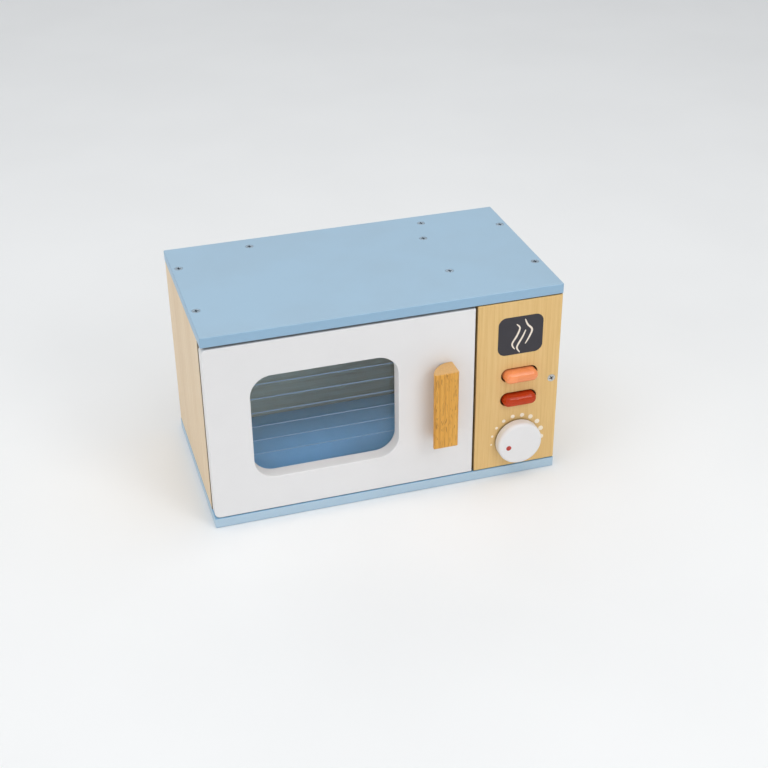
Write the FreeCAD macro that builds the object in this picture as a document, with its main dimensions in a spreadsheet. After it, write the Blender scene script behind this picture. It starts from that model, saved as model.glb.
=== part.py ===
import FreeCAD, Part
import Sketcher
import math
import os
from FreeCAD import Placement, Rotation, Vector

# Wooden play microwave: two painted boards with plain wooden side panels between
# them, a painted door on pins at the left, and a wooden control panel at the right.
#
# Frame: millimetres, +Z up, the front faces -Y, +X is to the right seen from the
# front, and the origin is the middle of the bottom board's underside.

doc = FreeCAD.newDocument("PlayMicrowave")
sheet = doc.addObject("Spreadsheet::Sheet", "Dims")

DIMENSIONS = [
    # carcass
    ("board_len", 300.0, "top and bottom board, left to right"),
    ("board_dep", 167.0, "top and bottom board, front to back"),
    ("board_thk", 9.0, "top and bottom board thickness"),
    ("overall_hgt", 178.0, "underside of the bottom board to the top face"),
    ("board_ease", 1.0, "rounded edge of the painted boards"),
    ("overhang", 0.4, "boards stand this far past the side panels"),
    ("side_thk", 12.0, "side panels and divider"),
    ("hinge_gap", 3.2, "door back to the left panel's front edge"),
    ("divider_gap", 0.6, "door back to the divider's front edge"),
    ("divider_left", 213.6, "divider's left face from the left end"),
    ("back_front", 147.0, "back panel's inner face from the front"),
    ("back_thk", 9.0, "back panel"),
    ("wood_ease", 0.8, "rounded edge of the plain wooden pieces"),
    # door
    ("door_thk", 12.0, "door board"),
    ("door_left", 0.4, "door's pivot edge from the left end"),
    ("door_right", 224.0, "door's free edge from the left end"),
    ("door_low", 9.7, "door's bottom edge"),
    ("door_high", 167.1, "door's top edge"),
    ("door_ease", 1.2, "rounded edge of the door"),
    ("door_heel", 2.0, "rounded edge beside the pivot at the back"),
    ("door_corner", 4.5, "corner of the door's outline at the pivot side"),
    ("win_left", 36.1, "window opening"),
    ("win_right", 158.5, ""),
    ("win_low", 40.8, ""),
    ("win_high", 136.1, ""),
    ("win_corner", 18.0, ""),
    ("win_ease", 1.0, "rounded front edge of the window opening"),
    ("pane_lap", 10.0, "pane laps the door this much round the opening"),
    ("pane_thk", 2.0, ""),
    ("pane_screw_in", 5.0, "pane screws from the pane's edge"),
    ("pivot_back", 6.0, "pivot axis behind the front"),
    ("pivot_in", 6.5, "pivot axis from the door's left edge"),
    ("pin_rad", 1.5, "hinge pins"),
    ("pin_in_door", 9.0, ""),
    ("pin_in_board", 6.5, ""),
    ("pin_hole_rad", 1.55, "pin holes in the boards, running fit"),
    ("washer_rad", 4.5, "nylon washer under the door"),
    ("washer_thk", 0.6, ""),
    ("magnet_rad", 3.0, ""),
    ("magnet_thk", 3.0, ""),
    ("magnet_in", 5.0, "magnet centre from the door's free edge"),
    ("magnet_hgt", 89.4, ""),
    # handle
    ("grip_right", 204.5, "handle's right side from the left end"),
    ("grip_wid", 21.1, "handle's front face"),
    ("grip_foot", 7.0, "handle's foot on the door"),
    ("grip_out", 17.5, "handle stands out this far"),
    ("grip_low", 50.6, ""),
    ("grip_high", 122.0, ""),
    ("grip_lip", 2.6, "flat edge at the front of the finger side"),
    ("grip_ease", 1.8, "rounded edge of the handle's front face"),
    ("grip_soft", 0.7, "its other edges"),
    # control panel
    ("panel_left", 225.9, "control panel's left edge from the left end"),
    ("panel_gap", 0.7, "control panel to the boards, above and below"),
    ("ctrl_mid", 264.0, "dial, buttons and display, from the left end"),
    ("slot_len", 32.5, "button openings"),
    ("slot_hgt", 12.9, ""),
    ("upper_mid", 99.7, "upper button height"),
    ("lower_mid", 76.4, "lower button height"),
    ("btn_len", 29.4, "button body"),
    ("btn_hgt", 10.2, ""),
    ("upper_out", 8.8, "upper button stands out at rest"),
    ("lower_out", 7.4, "lower button stands out at rest"),
    ("btn_round", 4.6, "rounded front of a button"),
    ("flange_lip", 3.2, "flange past the button body"),
    ("flange_thk", 3.0, ""),
    ("flange_gap", 0.3, "flange to the panel's back at rest"),
    ("pocket_rad", 3.7, "spring pocket"),
    ("pocket_dep", 9.0, ""),
    ("rail_dep", 7.6, "spacer rails behind the control panel; stops the flanges after 4 mm"),
    ("rail_hgt", 8.0, ""),
    ("plate_left", 241.0, "spring board"),
    ("plate_wid", 46.0, ""),
    ("plate_low", 58.5, ""),
    ("plate_high", 118.5, ""),
    ("plate_thk", 6.0, ""),
    ("seat_dep", 1.5, "spring seat in the spring board"),
    ("coil_rad", 2.8, "spring, middle of the wire"),
    ("wire_rad", 0.35, ""),
    ("coil_pitch", 2.2, ""),
    # dial
    ("dial_mid", 35.8, "dial height"),
    ("dial_rad", 19.75, ""),
    ("dial_gap", 1.3, "dial back to the control panel"),
    ("dial_thk", 8.9, ""),
    ("dial_round", 3.0, "rounded front edge"),
    ("shaft_rad", 4.0, ""),
    ("shaft_hole", 4.08, "hole in the control panel, running fit"),
    ("shaft_socket", 5.0, "shaft goes this far into the dial"),
    ("felt_rad", 10.0, ""),
    ("felt_thk", 1.0, ""),
    ("tab_rad", 7.0, "steel washer behind the panel"),
    ("tab_thk", 1.2, ""),
    ("end_gap", 0.4, "washer to the panel's back"),
    # cleat behind the control panel's left edge
    ("cleat_size", 12.0, ""),
    ("cleat_low", 16.0, ""),
    ("cleat_high", 162.0, ""),
    # countersunk wood screws
    ("head_rad", 3.35, ""),
    ("shank_rad", 1.6, ""),
    ("bore_rad", 1.65, "holes for the screws"),
    ("head_rim", 0.12, "flat rim round a countersunk head"),
    ("sink_rad", 3.7, "countersink"),
    ("screw_len", 24.0, ""),
    ("sunk", 0.2, "heads sit below the face"),
    # pan head pane screws
    ("pan_rad", 2.5, ""),
    ("pan_hgt", 1.7, ""),
    ("pan_shank", 1.2, ""),
    ("pan_len", 7.0, ""),
    # where the board screws go, from the left end and from the front
    ("fix_side_a", 46.5, ""),
    ("fix_side_b", 127.0, ""),
    ("fix_div_a", 52.0, ""),
    ("fix_div_b", 120.0, ""),
    ("fix_back_a", 72.0, ""),
    ("fix_back_b", 228.0, ""),
    ("panel_fix_hgt", 90.2, "control panel's face screw"),
]

for row, (alias, value, note) in enumerate(DIMENSIONS, 1):
    sheet.set("A%d" % row, alias)
    sheet.set("B%d" % row, "%g" % value)
    sheet.set("C%d" % row, note)
    sheet.setAlias("B%d" % row, alias)
doc.recompute()


class Size:
    """A number together with the sheet formula that gives it."""

    def __init__(self, value, text):
        self.value = float(value)
        self.text = text

    @staticmethod
    def of(other):
        return other if isinstance(other, Size) else Size(other, "%g" % other)

    def __add__(self, other):
        o = Size.of(other)
        return Size(self.value + o.value, "(%s + %s)" % (self.text, o.text))

    def __radd__(self, other):
        return Size.of(other) + self

    def __sub__(self, other):
        o = Size.of(other)
        return Size(self.value - o.value, "(%s - %s)" % (self.text, o.text))

    def __rsub__(self, other):
        return Size.of(other) - self

    def __mul__(self, other):
        o = Size.of(other)
        return Size(self.value * o.value, "(%s * %s)" % (self.text, o.text))

    __rmul__ = __mul__

    def __truediv__(self, other):
        o = Size.of(other)
        return Size(self.value / o.value, "(%s / %s)" % (self.text, o.text))

    def __neg__(self):
        return Size(-self.value, "(0 - %s)" % self.text)


D = {a: Size(sheet.get(a), "Dims.%s" % a) for a, _, _ in DIMENSIONS}
Z = Size(0, "0")


def bind(obj, prop, size):
    obj.setExpression(prop, Size.of(size).text)


# ---------------------------------------------------------------- helpers

SUBPARTS = []


def new_body(label, at=None):
    body = doc.addObject("PartDesign::Body", label)
    body.Label = label
    if at:
        for axis, size in zip("xyz", at):
            bind(body, "Placement.Base.%s" % axis, size)
    SUBPARTS.append(body)
    return body


def base_plane(body, role):
    for feature in body.Origin.OriginFeatures:
        if feature.Role == role:
            return feature
    raise RuntimeError("no plane " + role)


def new_sketch(body, name, role, offset=None):
    # offset moves the sketch along its own normal: +Z for XY, -Y for XZ, +X for YZ
    sk = body.newObject("Sketcher::SketchObject", name)
    sk.AttachmentSupport = [(base_plane(body, role), "")]
    sk.MapMode = "FlatFace"
    if offset is not None:
        bind(sk, "AttachmentOffset.Base.z", offset)
    return sk


def fix_point(sk, geo, pos, x, y):
    for kind, size in (("DistanceX", x), ("DistanceY", y)):
        size = Size.of(size)
        if abs(size.value) < 1e-9 and size.text == "0":
            # on the axis itself
            line = -2 if kind == "DistanceX" else -1
            sk.addConstraint(Sketcher.Constraint("PointOnObject", geo, pos, line))
            continue
        k = sk.addConstraint(Sketcher.Constraint(kind, -1, 1, geo, pos, size.value))
        name = "%s_%d_%d" % (kind[-1].lower(), geo, pos)
        sk.renameConstraint(k, name)
        bind(sk, "Constraints." + name, size)


def polygon(sk, points):
    """Closed outline with every corner fixed from the sketch's origin."""
    first = sk.GeometryCount
    vs = [Vector(Size.of(x).value, Size.of(y).value, 0) for x, y in points]
    n = len(vs)
    for i in range(n):
        sk.addGeometry(Part.LineSegment(vs[i], vs[(i + 1) % n]), False)
    for i in range(n):
        sk.addConstraint(Sketcher.Constraint("Coincident", first + i, 2, first + (i + 1) % n, 1))
    for i, (x, y) in enumerate(points):
        fix_point(sk, first + i, 1, x, y)


def rectangle(sk, x0, x1, y0, y1):
    first = sk.GeometryCount
    a, b, c, d = (Size.of(q).value for q in (x0, x1, y0, y1))
    corners = [Vector(a, c, 0), Vector(b, c, 0), Vector(b, d, 0), Vector(a, d, 0)]
    for i in range(4):
        sk.addGeometry(Part.LineSegment(corners[i], corners[(i + 1) % 4]), False)
    for i in range(4):
        sk.addConstraint(Sketcher.Constraint("Coincident", first + i, 2, first + (i + 1) % 4, 1))
    for i in (0, 2):
        sk.addConstraint(Sketcher.Constraint("Horizontal", first + i))
        sk.addConstraint(Sketcher.Constraint("Vertical", first + i + 1))
    fix_point(sk, first, 1, x0, y0)
    fix_point(sk, first + 1, 2, x1, y1)


def circles(sk, centres, radius):
    for x, y in centres:
        x, y = Size.of(x), Size.of(y)
        g = sk.GeometryCount
        sk.addGeometry(
            Part.Circle(Vector(x.value, y.value, 0), Vector(0, 0, 1), Size.of(radius).value), False
        )
        fix_point(sk, g, 3, x, y)
        k = sk.addConstraint(Sketcher.Constraint("Radius", g, Size.of(radius).value))
        sk.renameConstraint(k, "r_%d" % g)
        bind(sk, "Constraints.r_%d" % g, radius)


def stadium(sk, x, y, length, height):
    """Slot outline: two straight sides and two half-round ends."""
    x, y, length, height = (Size.of(q) for q in (x, y, length, height))
    r = height.value / 2
    half = length.value / 2 - r
    left, right = x.value - half, x.value + half
    g = sk.GeometryCount
    sk.addGeometry(Part.LineSegment(Vector(left, y.value - r, 0), Vector(right, y.value - r, 0)), False)
    sk.addGeometry(
        Part.ArcOfCircle(Part.Circle(Vector(right, y.value, 0), Vector(0, 0, 1), r), -math.pi / 2, math.pi / 2), False
    )
    sk.addGeometry(Part.LineSegment(Vector(right, y.value + r, 0), Vector(left, y.value + r, 0)), False)
    sk.addGeometry(
        Part.ArcOfCircle(Part.Circle(Vector(left, y.value, 0), Vector(0, 0, 1), r), math.pi / 2, 3 * math.pi / 2), False
    )
    for a, ea, b, eb in ((g, 2, g + 1, 1), (g + 1, 2, g + 2, 1), (g + 2, 2, g + 3, 1), (g + 3, 2, g, 1)):
        sk.addConstraint(Sketcher.Constraint("Tangent", a, ea, b, eb))
    sk.addConstraint(Sketcher.Constraint("Horizontal", g))
    fix_point(sk, g + 1, 3, x + length / 2 - height / 2, y)
    fix_point(sk, g + 3, 3, x - length / 2 + height / 2, y)
    k = sk.addConstraint(Sketcher.Constraint("Radius", g + 1, r))
    sk.renameConstraint(k, "end_r")
    bind(sk, "Constraints.end_r", height / 2)


def pad(body, sk, length, name="Pad", back=False):
    f = body.newObject("PartDesign::Pad", name)
    f.Profile = sk
    f.Reversed = back
    bind(f, "Length", length)
    doc.recompute()
    return f


def cut(body, sk, depth=None, name="Pocket", back=False):
    """Pocket that must remove material; depth None goes right through."""
    before = body.Shape.Volume
    f = body.newObject("PartDesign::Pocket", name)
    f.Profile = sk
    f.Reversed = back
    if depth is None:
        f.Type = "ThroughAll"
        f.Midplane = True
    else:
        bind(f, "Length", depth)
    doc.recompute()
    if not body.Shape.Volume < before - 1e-3:
        raise RuntimeError("%s in %s cuts nothing" % (name, body.Label))
    return f


def drill(body, sk, diameter, depth=None, sink=None, back=False, name="Drill"):
    """Drilled holes, countersunk where sink is given."""
    doc.recompute()
    before = body.Shape.Volume
    f = body.newObject("PartDesign::Hole", name)
    f.Profile = sk
    doc.recompute()
    f.ThreadType = "None"
    f.Threaded = False
    f.Reversed = back
    f.DrillPoint = "Flat"
    if depth is None:
        f.DepthType = "ThroughAll"
    else:
        f.DepthType = "Dimension"
        bind(f, "Depth", depth)
    if sink is not None:
        f.HoleCutType = "Countersink"
        f.HoleCutCustomValues = True
        f.HoleCutCountersinkAngle = 90
        bind(f, "HoleCutDiameter", sink)
    bind(f, "Diameter", diameter)
    doc.recompute()
    if not body.Shape.Volume < before - 1e-3:
        raise RuntimeError("%s in %s cuts nothing" % (name, body.Label))
    return f


def ease(body, radius, pick, name="Ease"):
    """Round the edges of the body's tip that pick(edge) accepts."""
    tip = body.Tip
    names = ["Edge%d" % (i + 1) for i, e in enumerate(tip.Shape.Edges) if pick(e)]
    if not names:
        raise RuntimeError("no edges to round in " + body.Label)
    f = body.newObject("PartDesign::Fillet", name)
    f.Base = (tip, names)
    bind(f, "Radius", radius)
    doc.recompute()
    if "Invalid" in f.State or "Error" in f.State or f.Shape.isNull() or not f.Shape.isValid():
        raise RuntimeError("%s failed in %s" % (name, body.Label))
    return f


def along(e, axis):
    if not isinstance(e.Curve, (Part.Line, Part.LineSegment)):
        return False
    d = e.Vertexes[-1].Point - e.Vertexes[0].Point
    n = {"x": Vector(1, 0, 0), "y": Vector(0, 1, 0), "z": Vector(0, 0, 1)}[axis]
    return abs(abs(d.normalize() * n) - 1) < 1e-6


def near(a, b):
    return abs(a - Size.of(b).value) < 1e-4


def block(label, x0, x1, y0, y1, z0, z1):
    body = new_body(label)
    sk = new_sketch(body, label + "_outline", "XY_Plane", z0)
    rectangle(sk, x0, x1, y0, y1)
    pad(body, sk, Size.of(z1) - z0, label + "_pad")
    return body


# ------------------------------------------------------- named places

LEFT = -D["board_len"] / 2
RIGHT = D["board_len"] / 2
FRONT = -D["board_dep"] / 2
REAR = D["board_dep"] / 2
FLOOR = D["board_thk"]
CEIL = D["overall_hgt"] - D["board_thk"]
TOP = D["overall_hgt"]

SIDE_L0 = LEFT + D["overhang"]
SIDE_L1 = SIDE_L0 + D["side_thk"]
SIDE_R1 = RIGHT - D["overhang"]
SIDE_R0 = SIDE_R1 - D["side_thk"]
DIV0 = LEFT + D["divider_left"]
DIV1 = DIV0 + D["side_thk"]
BACK0 = FRONT + D["back_front"]
BACK1 = BACK0 + D["back_thk"]

DOOR_L = LEFT + D["door_left"]
DOOR_R = LEFT + D["door_right"]
DOOR_BACK = FRONT + D["door_thk"]
PIVOT_X = DOOR_L + D["pivot_in"]
PIVOT_Y = FRONT + D["pivot_back"]

PANEL_L = LEFT + D["panel_left"]
PANEL_BACK = FRONT + D["door_thk"]
CTRL_X = LEFT + D["ctrl_mid"]
DIAL_Z = D["dial_mid"]

MAG_X = DOOR_R - D["magnet_in"]
MAG_Z = D["magnet_hgt"]

WIN_L = LEFT + D["win_left"]
WIN_R = LEFT + D["win_right"]
PANE_L = WIN_L - D["pane_lap"]
PANE_R = WIN_R + D["pane_lap"]
PANE_LO = D["win_low"] - D["pane_lap"]
PANE_HI = D["win_high"] + D["pane_lap"]

GRIP_R = LEFT + D["grip_right"]
GRIP_L = GRIP_R - D["grip_wid"]
GRIP_SCREW_X = GRIP_R - D["grip_foot"] / 2 + 0.3

# board screws, seen from above: sides, divider and back panel
BOARD_FIX = [
    (SIDE_L0 + D["side_thk"] / 2, FRONT + D["fix_side_a"]),
    (SIDE_L0 + D["side_thk"] / 2, FRONT + D["fix_side_b"]),
    (SIDE_R0 + D["side_thk"] / 2, FRONT + D["fix_side_a"]),
    (SIDE_R0 + D["side_thk"] / 2, FRONT + D["fix_side_b"]),
    (DIV0 + D["side_thk"] / 2, FRONT + D["fix_div_a"]),
    (DIV0 + D["side_thk"] / 2, FRONT + D["fix_div_b"]),
    (LEFT + D["fix_back_a"], BACK0 + D["back_thk"] / 2),
    (LEFT + D["fix_back_b"], BACK0 + D["back_thk"] / 2),
]
UPRIGHT_DEPTH = D["screw_len"] - D["board_thk"] + 1.0

# ------------------------------------------------------- painted boards


def board(label, low, high, outer_top):
    body = block(label, LEFT, RIGHT, FRONT, REAR, low, high)
    ease(body, D["board_ease"], lambda e: True, label + "_ease")
    # countersunk holes for the board screws, from the outer face
    sk = new_sketch(body, label + "_fixings", "XY_Plane", high if outer_top else low)
    circles(sk, BOARD_FIX, D["bore_rad"])
    drill(body, sk, D["bore_rad"] * 2, None, D["sink_rad"] * 2, back=not outer_top, name=label + "_drill")
    # blind hole for the door's hinge pin, from the inner face
    sk = new_sketch(body, label + "_pivot", "XY_Plane", low if outer_top else high)
    circles(sk, [(PIVOT_X, PIVOT_Y)], D["pin_hole_rad"])
    cut(body, sk, D["pin_in_board"] + 0.5, label + "_pivot_hole", back=outer_top)
    return body


top_panel = board("top_panel", CEIL, TOP, True)
bottom_panel = board("bottom_panel", Z, FLOOR, False)


def end_holes(body, label, centres):
    """Pilot holes in an upright panel's two end grains."""
    for side, z, back in (("low", FLOOR, True), ("high", CEIL, False)):
        sk = new_sketch(body, "%s_%s_pilots" % (label, side), "XY_Plane", z)
        circles(sk, centres, D["bore_rad"])
        cut(body, sk, UPRIGHT_DEPTH, "%s_%s_drill" % (label, side), back=back)


# ------------------------------------------------------- upright panels

left_side_panel = block(
    "left_side_panel", SIDE_L0, SIDE_L1, DOOR_BACK + D["hinge_gap"], REAR - D["overhang"], FLOOR, CEIL
)
ease(
    left_side_panel,
    D["wood_ease"],
    lambda e: along(e, "z") and near(e.Vertexes[0].Y, REAR - D["overhang"]),
    "left_side_ease",
)
# the arrises that face the door are left crisp, so that the gap behind it stays a thin line
ease(
    left_side_panel,
    Size.of(0.3),
    lambda e: along(e, "z") and near(e.Vertexes[0].Y, DOOR_BACK + D["hinge_gap"]),
    "left_side_front_ease",
)
end_holes(left_side_panel, "left_side", BOARD_FIX[0:2])

right_side_panel = block("right_side_panel", SIDE_R0, SIDE_R1, PANEL_BACK, REAR - D["overhang"], FLOOR, CEIL)
ease(
    right_side_panel,
    D["wood_ease"],
    lambda e: along(e, "z") and near(e.Vertexes[0].Y, REAR - D["overhang"]),
    "right_side_ease",
)
end_holes(right_side_panel, "right_side", BOARD_FIX[2:4])
# pilot for the control panel's face screw, in the front edge
sk = new_sketch(right_side_panel, "right_side_face_pilot", "XZ_Plane", -PANEL_BACK)
circles(sk, [(SIDE_R0 + D["side_thk"] / 2, D["panel_fix_hgt"])], D["bore_rad"])
cut(right_side_panel, sk, D["screw_len"] - D["door_thk"] + 1.0, "right_side_face_drill")

divider_panel = block("divider_panel", DIV0, DIV1, DOOR_BACK + D["divider_gap"], BACK0, FLOOR, CEIL)
end_holes(divider_panel, "divider", BOARD_FIX[4:6])
sk = new_sketch(divider_panel, "divider_magnet_seat", "XZ_Plane", -(DOOR_BACK + D["divider_gap"]))
circles(sk, [(MAG_X, MAG_Z)], D["magnet_rad"])
cut(divider_panel, sk, D["magnet_thk"], "divider_magnet_hole")

back_panel = block("back_panel", SIDE_L1, SIDE_R0, BACK0, BACK1, FLOOR, CEIL)
end_holes(back_panel, "back", BOARD_FIX[6:8])

# ------------------------------------------------------- control panel

control_panel = block(
    "control_panel", PANEL_L, SIDE_R1, FRONT, PANEL_BACK, FLOOR + D["panel_gap"], CEIL - D["panel_gap"]
)
ease(
    control_panel,
    D["wood_ease"],
    lambda e: near(e.Vertexes[0].Y, FRONT) and near(e.Vertexes[-1].Y, FRONT),
    "control_panel_ease",
)
for name, mid in (("upper", D["upper_mid"]), ("lower", D["lower_mid"])):
    sk = new_sketch(control_panel, name + "_slot", "XZ_Plane", -FRONT)
    stadium(sk, CTRL_X, mid, D["slot_len"], D["slot_hgt"])
    cut(control_panel, sk, D["door_thk"] + 1, name + "_slot_cut")
sk = new_sketch(control_panel, "dial_hole", "XZ_Plane", -FRONT)
circles(sk, [(CTRL_X, DIAL_Z)], D["shaft_hole"])
cut(control_panel, sk, D["door_thk"] + 1, "dial_hole_cut")
sk = new_sketch(control_panel, "face_screw_hole", "XZ_Plane", -FRONT)
circles(sk, [(SIDE_R0 + D["side_thk"] / 2, D["panel_fix_hgt"])], D["bore_rad"])
drill(control_panel, sk, D["bore_rad"] * 2, None, D["sink_rad"] * 2, name="face_screw_drill")

PLATE_L = LEFT + D["plate_left"]
PLATE_R = PLATE_L + D["plate_wid"]
PLATE_FIX = [
    (x, z)
    for x in (PLATE_L + 6, PLATE_R - 6)
    for z in (D["plate_low"] + D["rail_hgt"] / 2, D["plate_high"] - D["rail_hgt"] / 2)
]
CLEAT_FIX = [(DIV1 + D["cleat_size"] / 2, D["cleat_low"] + 24), (DIV1 + D["cleat_size"] / 2, D["cleat_high"] - 24)]
RAIL_BACK = PANEL_BACK + D["rail_dep"]
PLATE_BACK = RAIL_BACK + D["plate_thk"]
LONG_SCREW = D["plate_thk"] + D["rail_dep"] + 7.5
# pilots in the back of the control panel
sk = new_sketch(control_panel, "panel_back_pilots", "XZ_Plane", -PANEL_BACK)
circles(sk, PLATE_FIX + CLEAT_FIX, D["bore_rad"])
cut(control_panel, sk, Size.of(8.5), "panel_back_drill", back=True)

control_panel_cleat = block(
    "control_panel_cleat", DIV1, DIV1 + D["cleat_size"], PANEL_BACK, PANEL_BACK + D["cleat_size"],
    D["cleat_low"], D["cleat_high"],
)
ease(
    control_panel_cleat,
    D["wood_ease"],
    lambda e: along(e, "z") and near(e.Vertexes[0].X, DIV1 + D["cleat_size"]) and not near(e.Vertexes[0].Y, PANEL_BACK),
    "cleat_ease",
)
sk = new_sketch(control_panel_cleat, "cleat_holes", "XZ_Plane", -(PANEL_BACK + D["cleat_size"]))
circles(sk, CLEAT_FIX, D["bore_rad"])
drill(control_panel_cleat, sk, D["bore_rad"] * 2, None, D["sink_rad"] * 2, back=True, name="cleat_drill")

# ------------------------------------------------------- button carrier behind the panel

for name, low in (("lower", D["plate_low"]), ("upper", D["plate_high"] - D["rail_hgt"])):
    rail = block(name + "_spacer_rail", PLATE_L, PLATE_R, PANEL_BACK, RAIL_BACK, low, low + D["rail_hgt"])
    sk = new_sketch(rail, name + "_rail_holes", "XZ_Plane", -PANEL_BACK)
    circles(sk, [(x, low + D["rail_hgt"] / 2) for x in (PLATE_L + 6, PLATE_R - 6)], D["bore_rad"])
    cut(rail, sk, D["rail_dep"] + 1, name + "_rail_drill")

spring_board = block("spring_board", PLATE_L, PLATE_R, RAIL_BACK, PLATE_BACK, D["plate_low"], D["plate_high"])
ease(
    spring_board,
    D["wood_ease"],
    lambda e: near(e.Vertexes[0].Y, PLATE_BACK) and near(e.Vertexes[-1].Y, PLATE_BACK),
    "spring_board_ease",
)
sk = new_sketch(spring_board, "spring_seats", "XZ_Plane", -RAIL_BACK)
circles(sk, [(CTRL_X, D["upper_mid"]), (CTRL_X, D["lower_mid"])], D["pocket_rad"])
cut(spring_board, sk, D["seat_dep"], "spring_seat_cut")
sk = new_sketch(spring_board, "spring_board_holes", "XZ_Plane", -PLATE_BACK)
circles(sk, PLATE_FIX, D["bore_rad"])
drill(spring_board, sk, D["bore_rad"] * 2, None, D["sink_rad"] * 2, back=True, name="spring_board_drill")

# ------------------------------------------------------- push buttons
# Each is a capsule that slides in its slot, with a flange behind the panel that
# keeps it in, and a pocket in the back for its spring.

FLANGE_FRONT = PANEL_BACK + D["flange_gap"]
FLANGE_BACK = FLANGE_FRONT + D["flange_thk"]


def button(label, mid, out):
    body = new_body(label)
    sk = new_sketch(body, label + "_body", "XZ_Plane", -FLANGE_FRONT)
    stadium(sk, CTRL_X, mid, D["btn_len"], D["btn_hgt"])
    pad(body, sk, D["flange_gap"] + D["door_thk"] + out, label + "_pad")
    face = (FRONT - out).value
    ease(
        body,
        D["btn_round"],
        lambda e: all(abs(v.Y - face) < 1e-4 for v in e.Vertexes),
        label + "_round",
    )
    sk = new_sketch(body, label + "_flange", "XZ_Plane", -FLANGE_BACK)
    stadium(sk, CTRL_X, mid, D["btn_len"] + D["flange_lip"] * 2, D["btn_hgt"] + D["flange_lip"] * 2)
    pad(body, sk, D["flange_thk"], label + "_flange_pad")
    sk = new_sketch(body, label + "_pocket", "XZ_Plane", -FLANGE_BACK)
    circles(sk, [(CTRL_X, mid)], D["pocket_rad"])
    cut(body, sk, D["pocket_dep"], label + "_pocket_cut", back=True)
    return body


upper_button = button("upper_button", D["upper_mid"], D["upper_out"])
lower_button = button("lower_button", D["lower_mid"], D["lower_out"])


def spring(label, mid):
    """Compression spring between a button's pocket and its seat in the spring board."""
    start = FLANGE_BACK - D["pocket_dep"] + D["wire_rad"] + 0.1
    end = RAIL_BACK + D["seat_dep"] - D["wire_rad"] - 0.1
    body = new_body(label, (CTRL_X, start, mid))
    sk = new_sketch(body, label + "_wire", "XY_Plane")
    circles(sk, [(D["coil_rad"], Z)], D["wire_rad"])
    doc.recompute()
    f = body.newObject("PartDesign::AdditiveHelix", label + "_coil")
    f.Profile = sk
    f.ReferenceAxis = (sk, ["V_Axis"])
    f.Mode = 0
    bind(f, "Pitch", D["coil_pitch"])
    bind(f, "Height", end - start)
    f.Angle = 0
    f.LeftHanded = False
    f.Reversed = False
    doc.recompute()
    return body


upper_button_spring = spring("upper_button_spring", D["upper_mid"])
lower_button_spring = spring("lower_button_spring", D["lower_mid"])

# ------------------------------------------------------- dial


def turned(label, at, points):
    """Round piece about the Y direction through at; points are (radius, y)."""
    body = new_body(label, at)
    sk = new_sketch(body, label + "_profile", "XY_Plane")
    polygon(sk, points)
    doc.recompute()
    f = body.newObject("PartDesign::Revolution", label + "_turn")
    f.Profile = sk
    f.ReferenceAxis = (sk, ["V_Axis"])
    f.Angle = 360
    doc.recompute()
    return body


def ring(label, at, outer, inner, thick, role="XZ_Plane"):
    """Flat washer; for XZ_Plane its front face is at `at` and it goes towards +Y."""
    body = new_body(label, at)
    sk = new_sketch(body, label + "_outline", role)
    centres = [(Z, Z)]
    circles(sk, centres, outer)
    if inner is not None:
        circles(sk, centres, inner)
    pad(body, sk, thick, label + "_pad", back=(role == "XZ_Plane"))
    return body


DIAL_AT = (CTRL_X, FRONT - D["dial_gap"], DIAL_Z)
# back face at local y = 0, front towards -y, with a socket for the shaft
dial_knob = turned(
    "dial_knob",
    DIAL_AT,
    [
        (Z, -D["dial_thk"]),
        (D["dial_rad"], -D["dial_thk"]),
        (D["dial_rad"], Z),
        (D["shaft_rad"] + 0.03, Z),
        (D["shaft_rad"] + 0.03, -D["shaft_socket"]),
        (Z, -D["shaft_socket"]),
    ],
)
ease(
    dial_knob,
    D["dial_round"],
    lambda e: isinstance(e.Curve, Part.Circle)
    and abs(e.Curve.Radius - D["dial_rad"].value) < 1e-4
    and abs(e.Curve.Center.y + D["dial_thk"].value) < 1e-4,
    "dial_front_round",
)
ease(
    dial_knob,
    D["wood_ease"],
    lambda e: isinstance(e.Curve, Part.Circle)
    and abs(e.Curve.Radius - D["dial_rad"].value) < 1e-4
    and abs(e.Curve.Center.y) < 1e-4,
    "dial_back_round",
)

SHAFT_LEN = D["shaft_socket"] + D["dial_gap"] + D["door_thk"] + D["end_gap"]
# dowel glued into the dial, with a pilot for the retaining screw in its back end
dial_shaft = turned(
    "dial_shaft",
    DIAL_AT,
    [
        (Z, -D["shaft_socket"]),
        (D["shaft_rad"], -D["shaft_socket"]),
        (D["shaft_rad"], SHAFT_LEN - D["shaft_socket"]),
        (D["bore_rad"], SHAFT_LEN - D["shaft_socket"]),
        (D["bore_rad"], SHAFT_LEN - D["shaft_socket"] - 11),
        (Z, SHAFT_LEN - D["shaft_socket"] - 11),
    ],
)
dial_felt_washer = ring(
    "dial_felt_washer", (CTRL_X, FRONT - D["felt_thk"], DIAL_Z), D["felt_rad"], D["shaft_hole"] + 0.12, D["felt_thk"]
)
TAB_Y = PANEL_BACK + D["end_gap"]
dial_washer = ring("dial_washer", (CTRL_X, TAB_Y, DIAL_Z), D["tab_rad"], D["bore_rad"] + 0.1, D["tab_thk"])

# ------------------------------------------------------- screws


def cross_recess(body, label, top, reach, half, depth):
    """Cross-shaped driver recess in a face at local z = top."""
    sk = new_sketch(body, label + "_cross", "XY_Plane", top)
    r, w = Size.of(reach), Size.of(half)
    polygon(
        sk,
        [(-r, -w), (-w, -w), (-w, -r), (w, -r), (w, -w), (r, -w), (r, w), (w, w), (w, r), (-w, r), (-w, w), (-r, w)],
    )
    cut(body, sk, Size.of(depth), label + "_cross_cut")


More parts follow.
